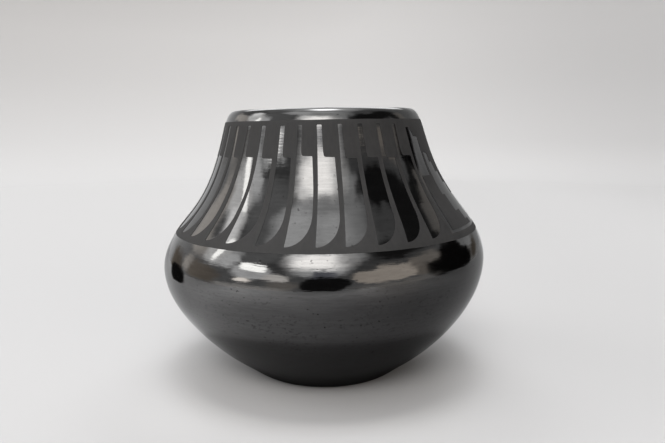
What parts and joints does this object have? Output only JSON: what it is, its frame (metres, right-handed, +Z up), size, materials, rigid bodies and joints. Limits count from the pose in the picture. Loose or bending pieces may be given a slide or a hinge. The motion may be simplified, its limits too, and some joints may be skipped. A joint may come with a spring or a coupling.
{
  "type": "pueblo pottery jar",
  "caption": "Wide-bellied hand-coiled blackware jar with incurving shoulder, short sloping neck, rounded lip and a matte painted feather band on a burnished ground; holds and displays.",
  "frame": {"origin": "centre of the flat resting face", "axes": "+Z up along the jar's axis, front of the jar towards -Y"},
  "size_m": [0.1596, 0.1596, 0.1299],
  "materials": {
    "fired_clay": "matte",
    "burnished_slip": "stone-polished, near mirror",
    "matte_paint": "matte"
  },
  "bodies": {
    "root": {"base": "fired_clay", "lower_wall_coil_1": "fired_clay", "lower_wall_coil_2": "fired_clay", "belly_coil_1": "fired_clay", "belly_coil_2": "fired_clay", "shoulder_coil_1": "fired_clay", "shoulder_coil_2": "fired_clay", "shoulder_coil_3": "fired_clay", "neck_coil_1": "fired_clay", "neck_coil_2": "fired_clay", "neck_coil_3": "fired_clay", "rim_coil": "fired_clay", "polished_slip": "burnished_slip", "matte_paint_band": "matte_paint"}
  },
  "joints": []
}
